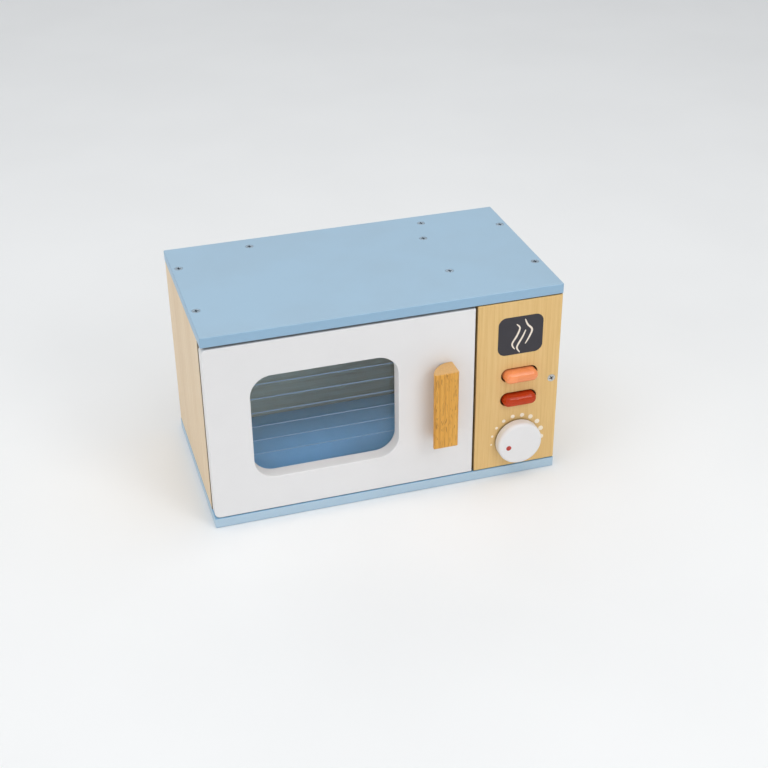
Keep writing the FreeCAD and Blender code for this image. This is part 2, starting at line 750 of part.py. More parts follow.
def screw_blank(name, length):
    """Countersunk wood screw, head face at local z = 0, point towards -z."""
    body = doc.addObject("PartDesign::Body", name)
    sk = new_sketch(body, name + "_profile", "XZ_Plane")
    cone = D["head_rad"] - D["shank_rad"]
    polygon(
        sk,
        [
            (Z, Z),
            (D["head_rad"], Z),
            (D["head_rad"], -D["head_rim"]),
            (D["shank_rad"], -cone - D["head_rim"]),
            (D["shank_rad"], -(Size.of(length) - 3.5)),
            (Size.of(0.3), -Size.of(length)),
            (Z, -Size.of(length)),
        ],
    )
    doc.recompute()
    f = body.newObject("PartDesign::Revolution", name + "_turn")
    f.Profile = sk
    f.ReferenceAxis = (sk, ["V_Axis"])
    f.Angle = 360
    doc.recompute()
    cross_recess(body, name, Z, 1.95, 0.48, 1.2)
    return body


def pan_blank(name, head_rad, head_hgt, shank, length):
    """Pan head screw, seat at local z = 0, head towards +z."""
    body = doc.addObject("PartDesign::Body", name)
    sk = new_sketch(body, name + "_profile", "XZ_Plane")
    head_rad, head_hgt, shank, length = (Size.of(q) for q in (head_rad, head_hgt, shank, length))
    polygon(
        sk,
        [
            (Z, head_hgt),
            (head_rad * 0.62, head_hgt),
            (head_rad, head_hgt * 0.45),
            (head_rad, Z),
            (shank, Z),
            (shank, -(length - 2)),
            (Size.of(0.25), -length),
            (Z, -length),
        ],
    )
    doc.recompute()
    f = body.newObject("PartDesign::Revolution", name + "_turn")
    f.Profile = sk
    f.ReferenceAxis = (sk, ["V_Axis"])
    f.Angle = 360
    doc.recompute()
    cross_recess(body, name, head_hgt, head_rad.value * 0.52, head_rad.value * 0.13, head_hgt.value * 0.55)
    return body


wood_screw = screw_blank("wood_screw_pattern", D["screw_len"])
long_screw = screw_blank("long_screw_pattern", LONG_SCREW)
pane_screw = pan_blank("pane_screw_pattern", D["pan_rad"], D["pan_hgt"], D["pan_shank"], D["pan_len"])
end_screw = pan_blank("end_screw_pattern", 3.2, 2.2, 1.6, 10.5)


def group(label, pattern, places, rotation):
    """Identical fasteners in one piece list entry, one solid each."""
    solids = []
    for x, y, z in places:
        s = pattern.Shape.copy()
        s.Placement = Placement(Vector(x, y, z), rotation)
        solids.append(s)
    f = doc.addObject("Part::Feature", label)
    f.Label = label
    f.Shape = Part.makeCompound(solids) if len(solids) > 1 else solids[0]
    SUBPARTS.append(f)
    return f


HEAD_UP = Rotation()
HEAD_DOWN = Rotation(Vector(1, 0, 0), 180)
HEAD_FRONT = Rotation(Vector(1, 0, 0), 90)  # head towards -Y, point towards +Y
HEAD_BACK = Rotation(Vector(1, 0, 0), -90)  # head towards +Y, point towards -Y

sunk = D["sunk"].value
spots = [(x.value, y.value) for x, y in BOARD_FIX]
group("top_panel_screws", wood_screw, [(x, y, TOP.value - sunk) for x, y in spots], HEAD_UP)
group("bottom_panel_screws", wood_screw, [(x, y, sunk) for x, y in spots], HEAD_DOWN)
group(
    "control_panel_screw",
    wood_screw,
    [((SIDE_R0 + D["side_thk"] / 2).value, FRONT.value + sunk, D["panel_fix_hgt"].value)],
    Rotation(Vector(1, 0, 0), 90) * Rotation(Vector(0, 0, 1), 28),
)
group(
    "cleat_screws",
    screw_blank("cleat_screw_pattern", D["cleat_size"] + 7),
    [(x.value, (PANEL_BACK + D["cleat_size"]).value - sunk, z.value) for x, z in CLEAT_FIX],
    HEAD_BACK,
)
group(
    "spring_board_screws",
    long_screw,
    [(x.value, PLATE_BACK.value - sunk, z.value) for x, z in PLATE_FIX],
    HEAD_BACK,
)
group("dial_screw", end_screw, [(CTRL_X.value, (TAB_Y + D["tab_thk"]).value, DIAL_Z.value)], HEAD_BACK)

# ------------------------------------------------------- door

door_panel = new_body("door_panel")
sk = new_sketch(door_panel, "door_outline", "XZ_Plane", -DOOR_BACK)
rectangle(sk, DOOR_L, DOOR_R, D["door_low"], D["door_high"])
pad(door_panel, sk, D["door_thk"], "door_pad")
# outline corners beside the pivot, then the rounded heel that clears the side panel
ease(
    door_panel,
    D["door_corner"],
    lambda e: along(e, "y") and near(e.Vertexes[0].X, DOOR_L),
    "door_corners",
)
sk = new_sketch(door_panel, "window_opening", "XZ_Plane", -DOOR_BACK)
rectangle(sk, WIN_L, WIN_R, D["win_low"], D["win_high"])
cut(door_panel, sk, None, "window_cut")
ease(
    door_panel,
    D["win_corner"],
    lambda e: along(e, "y")
    and WIN_L.value - 1 < e.Vertexes[0].X < WIN_R.value + 1
    and D["win_low"].value - 1 < e.Vertexes[0].Z < D["win_high"].value + 1,
    "window_corners",
)
ease(
    door_panel,
    D["door_heel"],
    lambda e: along(e, "z") and near(e.Vertexes[0].X, DOOR_L) and near(e.Vertexes[0].Y, DOOR_BACK),
    "door_heel_round",
)


def on_front(e):
    return all(near(v.Y, FRONT) for v in e.Vertexes)


def in_window(e):
    return all(
        WIN_L.value - 0.1 < v.X < WIN_R.value + 0.1 and D["win_low"].value - 0.1 < v.Z < D["win_high"].value + 0.1
        for v in e.Vertexes
    )


ease(door_panel, D["door_ease"], lambda e: on_front(e) and not in_window(e), "door_front_round")
ease(door_panel, D["win_ease"], lambda e: on_front(e) and in_window(e), "window_front_round")
# bores for the hinge pins in the top and bottom edges
for name, z, back in (("low", D["door_low"], True), ("high", D["door_high"], False)):
    sk = new_sketch(door_panel, "door_pin_%s" % name, "XY_Plane", z)
    circles(sk, [(PIVOT_X, PIVOT_Y)], D["pin_rad"])
    cut(door_panel, sk, D["pin_in_door"], "door_pin_bore_%s" % name, back=back)
# magnet seat in the back
sk = new_sketch(door_panel, "door_magnet_seat", "XZ_Plane", -DOOR_BACK)
circles(sk, [(MAG_X, MAG_Z)], D["magnet_rad"])
cut(door_panel, sk, D["magnet_thk"], "door_magnet_hole", back=True)
# handle screws, countersunk from the back
GRIP_FIX = [(GRIP_SCREW_X, D["grip_low"] + 16), (GRIP_SCREW_X, D["grip_high"] - 16)]
sk = new_sketch(door_panel, "handle_screw_holes", "XZ_Plane", -DOOR_BACK)
circles(sk, GRIP_FIX, D["bore_rad"])
drill(door_panel, sk, D["bore_rad"] * 2, None, D["sink_rad"] * 2, back=True, name="handle_screw_drill")
# pilots for the pane screws
xs = (PANE_L + D["pane_screw_in"], (PANE_L + PANE_R) / 2, PANE_R - D["pane_screw_in"])
zs = (PANE_LO + D["pane_screw_in"], (PANE_LO + PANE_HI) / 2, PANE_HI - D["pane_screw_in"])
PANE_FIX = [(x, z) for i, x in enumerate(xs) for j, z in enumerate(zs) if not (i == 1 and j == 1)]
sk = new_sketch(door_panel, "pane_pilots", "XZ_Plane", -DOOR_BACK)
circles(sk, PANE_FIX, D["pan_shank"])
cut(door_panel, sk, Size.of(5.5), "pane_pilot_drill", back=True)

window_pane = new_body("window_pane")
sk = new_sketch(window_pane, "pane_outline", "XZ_Plane", -(DOOR_BACK + D["pane_thk"]))
rectangle(sk, PANE_L, PANE_R, PANE_LO, PANE_HI)
pad(window_pane, sk, D["pane_thk"], "pane_pad")
ease(window_pane, Size.of(4.0), lambda e: along(e, "y"), "pane_corners")
sk = new_sketch(window_pane, "pane_holes", "XZ_Plane", -(DOOR_BACK + D["pane_thk"]))
circles(sk, PANE_FIX, D["pan_shank"] + 0.05)
cut(window_pane, sk, None, "pane_hole_cut")

group(
    "pane_screws",
    pane_screw,
    [(x.value, (DOOR_BACK + D["pane_thk"]).value, z.value) for x, z in PANE_FIX],
    HEAD_BACK,
)
group(
    "handle_screws",
    wood_screw,
    [(x.value, DOOR_BACK.value - sunk, z.value) for x, z in GRIP_FIX],
    HEAD_BACK,
)

# ------------------------------------------------------- handle
# A vertical bar, flat at the front and straight on the right. The left side curves
# back to a narrow foot on the door, so fingers reach behind the front edge.

door_handle = new_body("door_handle")
sk = new_sketch(door_handle, "handle_section", "XY_Plane", D["grip_low"])
xr, xl = GRIP_R.value, GRIP_L.value
yb, yf = FRONT.value, (FRONT - D["grip_out"]).value
foot = (GRIP_R - D["grip_foot"]).value
lip = yf + D["grip_lip"].value
sk.addGeometry(Part.LineSegment(Vector(foot, yb, 0), Vector(xr, yb, 0)), False)
sk.addGeometry(Part.LineSegment(Vector(xr, yb, 0), Vector(xr, yf, 0)), False)
sk.addGeometry(Part.LineSegment(Vector(xr, yf, 0), Vector(xl, yf, 0)), False)
sk.addGeometry(Part.LineSegment(Vector(xl, yf, 0), Vector(xl, lip, 0)), False)
grip_mid = Vector((xl + foot) / 2 - 1.9, (lip + yb) / 2 + 1.7, 0)
sk.addGeometry(Part.Arc(Vector(xl, lip, 0), grip_mid, Vector(foot, yb, 0)), False)
for a, ea, b, eb in ((0, 2, 1, 1), (1, 2, 2, 1), (2, 2, 3, 1)):
    sk.addConstraint(Sketcher.Constraint("Coincident", a, ea, b, eb))
# the arc's two ends, whichever way round the sketcher stores them
start = sk.getPoint(4, 1)
near_lip = 1 if (start - Vector(xl, lip, 0)).Length < 1e-3 else 2
sk.addConstraint(Sketcher.Constraint("Coincident", 3, 2, 4, near_lip))
sk.addConstraint(Sketcher.Constraint("Coincident", 0, 1, 4, 3 - near_lip))
for g in (0, 2):
    sk.addConstraint(Sketcher.Constraint("Horizontal", g))
for g in (1, 3):
    sk.addConstraint(Sketcher.Constraint("Vertical", g))
fix_point(sk, 0, 1, GRIP_R - D["grip_foot"], FRONT)
fix_point(sk, 1, 2, GRIP_R, FRONT - D["grip_out"])
fix_point(sk, 3, 2, GRIP_L, FRONT - D["grip_out"] + D["grip_lip"])
k = sk.addConstraint(Sketcher.Constraint("Radius", 4, sk.Geometry[4].Radius))
sk.renameConstraint(k, "finger_radius")
pad(door_handle, sk, D["grip_high"] - D["grip_low"], "handle_pad")
GRIP_FACE = FRONT - D["grip_out"]
ease(
    door_handle,
    D["grip_ease"],
    lambda e: all(near(v.Y, GRIP_FACE) for v in e.Vertexes),
    "handle_front_ease",
)
ease(
    door_handle,
    D["grip_soft"],
    lambda e: not near(e.CenterOfMass.y, FRONT)
    and e.CenterOfMass.y > (GRIP_FACE + D["grip_ease"]).value + 0.1
    and not (along(e, "z") and near(e.Vertexes[0].X, GRIP_R)),
    "handle_ease",
)
sk = new_sketch(door_handle, "handle_pilots", "XZ_Plane", -FRONT)
circles(sk, GRIP_FIX, D["bore_rad"])
cut(door_handle, sk, D["screw_len"] - D["door_thk"] + 0.6, "handle_pilot_drill", back=True)

# ------------------------------------------------------- hinge pins, washer, magnets

pin_len = D["pin_in_door"] + D["pin_in_board"]


def upright_pin(label, low, length):
    body = new_body(label, (PIVOT_X, PIVOT_Y, low))
    sk = new_sketch(body, label + "_outline", "XY_Plane")
    circles(sk, [(Z, Z)], D["pin_rad"])
    pad(body, sk, length, label + "_pad")
    ease(body, Size.of(0.3), lambda e: isinstance(e.Curve, Part.Circle), label + "_ease")
    return body


lower_hinge_pin = upright_pin(
    "lower_hinge_pin", FLOOR - D["pin_in_board"], pin_len + D["door_low"] - D["board_thk"] - 0.2
)
upper_hinge_pin = upright_pin("upper_hinge_pin", D["door_high"] - D["pin_in_door"] + 0.2, pin_len + CEIL - D["door_high"] - 0.2)

hinge_washer = ring(
    "hinge_washer", (PIVOT_X, PIVOT_Y, FLOOR), D["washer_rad"], D["pin_rad"] + 0.08, D["washer_thk"], "XY_Plane"
)

door_magnet = ring(
    "door_magnet", (MAG_X, DOOR_BACK - D["magnet_thk"], MAG_Z), D["magnet_rad"], None, D["magnet_thk"]
)
cabinet_magnet = ring(
    "cabinet_magnet", (MAG_X, DOOR_BACK + D["divider_gap"], MAG_Z), D["magnet_rad"], None, D["magnet_thk"]
)

# ------------------------------------------------------- check and write

doc.recompute()
for obj in doc.Objects:
    if "Invalid" in obj.State or "Error" in obj.State:
        raise RuntimeError("%s is %s" % (obj.Label, obj.State))

os.makedirs("parts", exist_ok=True)
labels = [o.Label for o in SUBPARTS]
if len(labels) != len(set(labels)) or len(labels) > 60:
    raise RuntimeError("labels must be different, and at most 60")
for obj in SUBPARTS:
    shape = obj.Shape
    if shape.isNull() or not shape.isValid() or not shape.Solids or shape.Volume <= 0:
        raise RuntimeError("%s has no valid shape" % obj.Label)
for obj in SUBPARTS:
    obj.Shape.exportStep(os.path.join("parts", obj.Label + ".step"))

box = None
for obj in SUBPARTS:
    b = obj.Shape.BoundBox
    box = FreeCAD.BoundBox(b) if box is None else box.united(b)
print("pieces", len(SUBPARTS), "solids", sum(len(o.Shape.Solids) for o in SUBPARTS))
print("box x %.2f..%.2f y %.2f..%.2f z %.2f..%.2f" % (box.XMin, box.XMax, box.YMin, box.YMax, box.ZMin, box.ZMax))
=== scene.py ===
import math

import bmesh
import bpy
from mathutils import Matrix, Vector


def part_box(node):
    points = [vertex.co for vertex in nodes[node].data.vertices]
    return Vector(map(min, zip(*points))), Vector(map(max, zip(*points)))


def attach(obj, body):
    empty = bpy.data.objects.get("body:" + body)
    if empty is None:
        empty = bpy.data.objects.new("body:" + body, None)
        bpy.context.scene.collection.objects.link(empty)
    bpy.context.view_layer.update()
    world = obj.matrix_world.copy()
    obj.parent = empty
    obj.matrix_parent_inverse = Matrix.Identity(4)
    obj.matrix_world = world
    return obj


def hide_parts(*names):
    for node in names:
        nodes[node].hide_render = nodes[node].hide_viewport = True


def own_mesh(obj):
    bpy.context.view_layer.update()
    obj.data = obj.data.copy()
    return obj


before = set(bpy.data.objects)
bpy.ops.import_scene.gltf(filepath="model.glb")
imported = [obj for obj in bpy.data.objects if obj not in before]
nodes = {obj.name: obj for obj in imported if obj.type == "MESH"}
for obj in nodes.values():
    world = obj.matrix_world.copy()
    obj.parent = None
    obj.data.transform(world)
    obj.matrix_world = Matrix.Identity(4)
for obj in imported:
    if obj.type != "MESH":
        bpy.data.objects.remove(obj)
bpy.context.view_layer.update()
scene = bpy.context.scene

MM = 0.001
# The front's left bottom corner of the boards, in metres: positions below are
# millimetres from it, to the right, back and up.
CORNER = Vector((-150 * MM, -83.5 * MM, 0))


def at(x, y, z):
    return CORNER + Vector((x, y, z)) * MM


def srgb(r, g, b):
    def one(v):
        v /= 255
        return v / 12.92 if v <= 0.04045 else ((v + 0.055) / 1.055) ** 2.4

    return (one(r), one(g), one(b), 1.0)


# ------------------------------------------------------------------ shader kit


class Shader:
    """A material built from nodes; the surface's own constants go on its sockets."""

    def __init__(self, name, roughness=0.5, specular=0.5, coat=0.0, coat_roughness=0.1):
        self.mat = bpy.data.materials.new(name)
        self.mat.use_nodes = True
        self.tree = self.mat.node_tree
        self.tree.nodes.clear()
        self.out = self.tree.nodes.new("ShaderNodeOutputMaterial")
        self.bsdf = self.tree.nodes.new("ShaderNodeBsdfPrincipled")
        self.bsdf.inputs["Roughness"].default_value = roughness
        self.bsdf.inputs["Specular IOR Level"].default_value = specular
        self.bsdf.inputs["Coat Weight"].default_value = coat
        self.bsdf.inputs["Coat Roughness"].default_value = coat_roughness
        self.link(self.bsdf.outputs[0], self.out.inputs[0])
        self.coords = self.tree.nodes.new("ShaderNodeTexCoord").outputs["Object"]

    def link(self, a, b):
        self.tree.links.new(a, b)

    def put(self, socket, value):
        if isinstance(value, bpy.types.NodeSocket):
            self.link(value, socket)
        else:
            socket.default_value = value

    def mapped(self, scale=(1, 1, 1), location=(0, 0, 0), rotation=(0, 0, 0), source=None):
        n = self.tree.nodes.new("ShaderNodeMapping")
        n.inputs["Location"].default_value = location
        n.inputs["Rotation"].default_value = rotation
        n.inputs["Scale"].default_value = scale
        self.link(source or self.coords, n.inputs["Vector"])
        return n.outputs[0]

    def noise(self, scale, vector, detail=2.0, roughness=0.5, distortion=0.0, colour=False):
        n = self.tree.nodes.new("ShaderNodeTexNoise")
        n.inputs["Scale"].default_value = scale
        n.inputs["Detail"].default_value = detail
        n.inputs["Roughness"].default_value = roughness
        n.inputs["Distortion"].default_value = distortion
        self.link(vector, n.inputs["Vector"])
        return n.outputs["Color" if colour else "Fac"]

    def voronoi(self, scale, vector, feature="F1", randomness=1.0):
        n = self.tree.nodes.new("ShaderNodeTexVoronoi")
        n.feature = feature
        n.inputs["Scale"].default_value = scale
        n.inputs["Randomness"].default_value = randomness
        self.link(vector, n.inputs["Vector"])
        return n.outputs["Distance"]

    def math(self, op, a, b=0.0, c=0.0, clamp=False):
        n = self.tree.nodes.new("ShaderNodeMath")
        n.operation = op
        n.use_clamp = clamp
        self.put(n.inputs[0], a)
        self.put(n.inputs[1], b)
        if op in ("MULTIPLY_ADD", "SMOOTH_MIN", "SMOOTH_MAX", "WRAP"):
            self.put(n.inputs[2], c)
        return n.outputs[0]

    def vmath(self, op, a, b=(0, 0, 0), scale=None, value=False):
        n = self.tree.nodes.new("ShaderNodeVectorMath")
        n.operation = op
        self.put(n.inputs[0], a)
        self.put(n.inputs[1], b)
        if scale is not None:
            self.put(n.inputs["Scale"], scale)
        return n.outputs["Value" if value else "Vector"]

    def ramp(self, factor, stops, mode="LINEAR"):
        n = self.tree.nodes.new("ShaderNodeValToRGB")
        r = n.color_ramp
        r.interpolation = mode
        while len(r.elements) < len(stops):
            r.elements.new(0.5)
        for e, (pos, col) in zip(r.elements, stops):
            e.position = pos
            e.color = col if isinstance(col, tuple) else (col, col, col, 1)
        self.link(factor, n.inputs[0])
        return n.outputs[0]

    def spread(self, value, lo, hi, to_lo=0.0, to_hi=1.0):
        n = self.tree.nodes.new("ShaderNodeMapRange")
        n.interpolation_type = "SMOOTHSTEP"
        for i, v in enumerate((value, lo, hi, to_lo, to_hi)):
            self.put(n.inputs[i], v)
        return n.outputs[0]

    def mix(self, factor, a, b, mode="MIX"):
        n = self.tree.nodes.new("ShaderNodeMix")
        n.data_type = "RGBA"
        n.blend_type = mode
        self.put(n.inputs[0], factor)
        self.put(n.inputs[6], a)
        self.put(n.inputs[7], b)
        return n.outputs[2]

    def bump(self, height, distance, strength=1.0, normal=None):
        n = self.tree.nodes.new("ShaderNodeBump")
        n.inputs["Strength"].default_value = strength
        n.inputs["Distance"].default_value = distance
        self.link(height, n.inputs["Height"])
        if normal is not None:
            self.link(normal, n.inputs["Normal"])
        return n.outputs[0]

    def edges(self, radius):
        """1 where the surface turns within radius, 0 on the flats."""
        bevel = self.tree.nodes.new("ShaderNodeBevel")
        bevel.samples = 6
        bevel.inputs["Radius"].default_value = radius
        geo = self.tree.nodes.new("ShaderNodeNewGeometry")
        d = self.vmath("DOT_PRODUCT", bevel.outputs[0], geo.outputs["Normal"], value=True)
        return self.spread(d, 1.0, 0.86)

    def painted_gap_shade(self, base, reach=0.004, depth=0.62, tight=0.12, loose=0.66, shade_colour=(0.02, 0.015, 0.01, 1)):
        """Painted shade: darkens base in narrow gaps and corners, by how little open sky they see."""
        n = self.tree.nodes.new("ShaderNodeAmbientOcclusion")
        n.samples = 8
        n.inputs["Distance"].default_value = reach
        open_sky = self.spread(n.outputs["AO"], tight, loose)
        return self.mix(self.math("MULTIPLY_ADD", open_sky, -depth, depth), base, shade_colour)

    def colour(self, socket):
        self.put(self.bsdf.inputs["Base Color"], socket)

    def rough(self, socket):
        self.put(self.bsdf.inputs["Roughness"], socket)

    def normal(self, socket):
        self.link(socket, self.bsdf.inputs["Normal"])


def dress(node, mat):
    """Gives a carried-over CAD node its material."""
    slots = nodes[node].data.materials
    if len(slots):
        for i in range(len(slots)):
            slots[i] = mat
    else:
        slots.append(mat)


# ------------------------------------------------------------------ materials


def painted(name, colour, tone=0.018, seed=0.0, roughness=0.42, stipple=0.012, specular=0.45, rim=None, gap_shade=0.62):
    """Sprayed satin paint on a sanded board: fine stipple, faint clouding, paler on the arrises, and painted shade in
    gaps.
    rim is its tone on the board's upright faces, a painted light difference: the edges come out lighter or darker than
    the flat faces as the light falls on them."""
    s = Shader(name, specular=specular)
    p = s.mapped(location=(seed, seed * 1.7, seed * 0.6))
    cloud = s.noise(14, p, detail=3, roughness=0.55)
    grainy = s.noise(2600, p, detail=1.5, roughness=0.6)
    fleck = s.noise(420, s.mapped(location=(3.1 + seed, 1, 4)), detail=2, roughness=0.6)
    light = tuple(min(1.0, c * (1 + tone * 1.2)) for c in colour[:3]) + (1,)
    dark = tuple(c * (1 - tone * 2.2) for c in colour[:3]) + (1,)
    base = s.mix(s.spread(cloud, 0.3, 0.7), dark, light)
    base = s.mix(s.math("MULTIPLY", s.spread(fleck, 0.35, 0.72), 0.10), base, light)
    # painted light: upright faces get their own tone, lighter or darker than the flat faces
    if rim:
        geo = s.tree.nodes.new("ShaderNodeNewGeometry")
        flat = s.math("ABSOLUTE", s.vmath("DOT_PRODUCT", geo.outputs["Normal"], (0, 0, 1), value=True))
        shade = s.mix(s.spread(cloud, 0.3, 0.7), tuple(c * 0.97 for c in rim[:3]) + (1,), rim)
        base = s.mix(s.spread(flat, 0.75, 0.35), base, shade)
    arris_mask = s.edges(0.0011)
    pale = tuple(c + (0.93 - c) * 0.20 for c in colour[:3]) + (1,)
    base = s.mix(s.math("MULTIPLY", arris_mask, 0.5), base, pale)
    # painted shade in gaps and corners
    s.colour(s.painted_gap_shade(base, depth=gap_shade, shade_colour=(0.012, 0.02, 0.03, 1)))
    r = s.math("MULTIPLY_ADD", s.spread(cloud, 0.25, 0.75), 0.09, roughness - 0.045)
    r = s.math("MULTIPLY_ADD", s.spread(grainy, 0.3, 0.7), 0.05, r)
    s.rough(s.math("SUBTRACT", r, s.math("MULTIPLY", arris_mask, 0.06)))
    relief = s.noise(900, p, detail=2, roughness=0.5)
    n1 = s.bump(relief, 0.00006, 0.35)
    n2 = s.bump(grainy, stipple * MM, 0.5, n1)
    s.normal(n2)
    return s.mat


def timber(
    name,
    pale,
    mid,
    dark,
    axis="z",
    pith=(0.11, 0.34),
    ring=0.0052,
    ring_depth=0.45,
    fibre_depth=0.35,
    pores=0.0,
    pore_colour=None,
    roughness=0.5,
    coat=0.0,
    seed=0.0,
    relief=0.00004,
    cloud_depth=0.25,
    wander=0.010,
    streak=0.0,
    cells=(1350, 62),
    end=None,
    gap_shade=(0.62, 0.12, 0.66),
    front_edge_shade=None,
):
    """Sawn wood with growth rings round a pith line outside the piece, fibres along axis, and pores."""
    s = Shader(name, specular=0.35, coat=coat, coat_roughness=0.3)
    # turn the coordinates so that the third one runs along the grain
    order = {"z": (0, 0, 0), "x": (0, math.pi / 2, 0), "y": (math.pi / 2, 0, 0)}[axis]
    p = s.mapped(location=(seed * 0.37, seed * 0.21, seed * 0.13), rotation=order)
    slow = s.mapped(scale=(1, 1, 0.16), source=p)
    # rings
    bend = s.noise(9, slow, detail=2, roughness=0.45, colour=True)
    bend = s.vmath("SUBTRACT", bend, (0.5, 0.5, 0.5))
    bend = s.vmath("SCALE", bend, scale=wander * 2)
    q = s.vmath("ADD", s.mapped(scale=(1, 1, 0.03), location=(pith[0], pith[1], 0), source=p), bend)
    q = s.vmath("MULTIPLY", q, (1, 1, 0.0))
    radius = s.vmath("LENGTH", q, value=True)
    fine_bend = s.noise(60, slow, detail=2)
    rings = s.math("MULTIPLY_ADD", radius, 1 / ring, s.math("MULTIPLY", fine_bend, 0.9))
    width = s.noise(1.0, s.vmath("SCALE", q, scale=60.0), detail=1)
    rings = s.math("MULTIPLY_ADD", width, 0.8, rings)
    phase = s.math("FRACT", rings)
    late = s.math(
        "MULTIPLY", s.spread(phase, 0.25, 0.86), s.spread(phase, 1.0, 0.93)
    )
    # fibres, streaks and clouds
    fibre = s.noise(1, s.mapped(scale=(1500, 1500, 34), source=p), detail=3, roughness=0.62)
    hair = s.noise(1, s.mapped(scale=(520, 520, 9), location=(7, 3, 1), source=p), detail=2, roughness=0.55)
    cloud = s.noise(1, s.mapped(scale=(26, 26, 4.5), location=(2, 9, 5), source=p), detail=2, roughness=0.5)
    f = s.math("MULTIPLY", late, ring_depth)
    f = s.math("MULTIPLY_ADD", s.spread(fibre, 0.28, 0.74), fibre_depth, f)
    f = s.math("MULTIPLY_ADD", s.spread(hair, 0.3, 0.7), fibre_depth * 0.6, f)
    f = s.math("MULTIPLY_ADD", s.spread(cloud, 0.3, 0.72), cloud_depth, f)
    total = ring_depth + fibre_depth * 1.6 + cloud_depth
    f = s.math("DIVIDE", f, total, clamp=True)
    base = s.ramp(f, [(0.0, pale), (0.5, mid), (1.0, dark)])
    if streak:
        band = s.noise(1, s.mapped(scale=(150, 150, 5), location=(1, 4, 8), source=p), detail=2, roughness=0.5)
        base = s.mix(s.math("MULTIPLY", s.spread(band, 0.52, 0.72), streak), base, dark)
    height = s.math("MULTIPLY", fibre, 0.6)
    if pores:
        across, along = cells
        sway = s.noise(1, s.mapped(scale=(130, 130, 70), location=(4, 8, 3), source=p), detail=1.5, colour=True)
        sway = s.vmath("SCALE", s.vmath("SUBTRACT", sway, (0.5, 0.5, 0.5)), scale=0.0042)
        sway = s.vmath("MULTIPLY", sway, (1, 1, 0))
        place = s.mapped(scale=(across, across, along), location=(5, 5, 2), source=s.vmath("ADD", p, sway))
        dash = s.noise(1, place, detail=1.2, roughness=0.4)
        holes = s.spread(dash, 0.555, 0.65)
        gate = s.math("MULTIPLY_ADD", s.spread(phase, 0.55, 0.15), 0.5, 0.5)
        holes = s.math("MULTIPLY", holes, gate)
        base = s.mix(s.math("MULTIPLY", holes, pores), base, pore_colour or dark)
        height = s.math("SUBTRACT", height, s.math("MULTIPLY", holes, 2.2))
    if end:
        # cut across the grain, the wood is more even and takes the finish differently
        geo = s.tree.nodes.new("ShaderNodeNewGeometry")
        along_grain = {"x": (1, 0, 0), "y": (0, 1, 0), "z": (0, 0, 1)}[axis]
        facing = s.math("ABSOLUTE", s.vmath("DOT_PRODUCT", geo.outputs["Normal"], along_grain, value=True))
        speck = s.noise(900, p, detail=2, roughness=0.6)
        cut = s.mix(s.spread(speck, 0.35, 0.7), end, tuple(c * 0.86 for c in end[:3]) + (1,))
        base = s.mix(s.math("MULTIPLY", s.spread(facing, 0.62, 0.88), 0.85), base, cut)
    if front_edge_shade:
        # painted shade: the front edge darkened within a millimetre, standing in for the shadow in the gap behind the
        # door
        split = s.tree.nodes.new("ShaderNodeSeparateXYZ")
        s.link(s.coords, split.inputs[0])
        near_edge = s.spread(split.outputs[1], front_edge_shade[1], front_edge_shade[0])
        base = s.mix(s.math("MULTIPLY", near_edge, 0.72), base, srgb(84, 68, 50))
    # painted shade in gaps and corners
    s.colour(s.painted_gap_shade(base, depth=gap_shade[0], tight=gap_shade[1], loose=gap_shade[2]))
    r = s.math("MULTIPLY_ADD", s.spread(fibre, 0.25, 0.75), 0.12, roughness - 0.06)
    s.rough(s.math("MULTIPLY_ADD", late, -0.05, r))
    height = s.math("MULTIPLY_ADD", late, 0.35, height)
    s.normal(s.bump(height, relief * 2.2, 0.6))
    return s.mat


def lacquered(name, colour, edge, seed=0.0, specular=0.5, coat=0.5):
    """Glossy lacquer on a turned or moulded wooden piece."""
    s = Shader(name, specular=specular, coat=coat, coat_roughness=0.08)
    p = s.mapped(location=(seed, seed * 0.5, 2))
    cloud = s.noise(70, p, detail=2)
    speck = s.noise(1800, p, detail=1.5)
    grain = s.noise(1, s.mapped(scale=(40, 700, 700), location=(seed, 1, 1)), detail=2, roughness=0.6)
    light = tuple(min(1.0, c * 1.06) for c in colour[:3]) + (1,)
    dark = tuple(c * 0.92 for c in colour[:3]) + (1,)
    base = s.mix(s.spread(cloud, 0.3, 0.7), dark, light)
    base = s.mix(s.math("MULTIPLY", s.spread(grain, 0.35, 0.7), 0.12), base, dark)
    base = s.mix(s.math("MULTIPLY", s.edges(0.0009), 0.22), base, edge)
    s.colour(base)
    s.rough(s.math("MULTIPLY_ADD", s.spread(cloud, 0.3, 0.7), 0.10, 0.22))
    n1 = s.bump(s.noise(260, p, detail=2), 0.00010, 0.30)
    s.normal(s.bump(speck, 0.000010, 0.4, n1))
    return s.mat


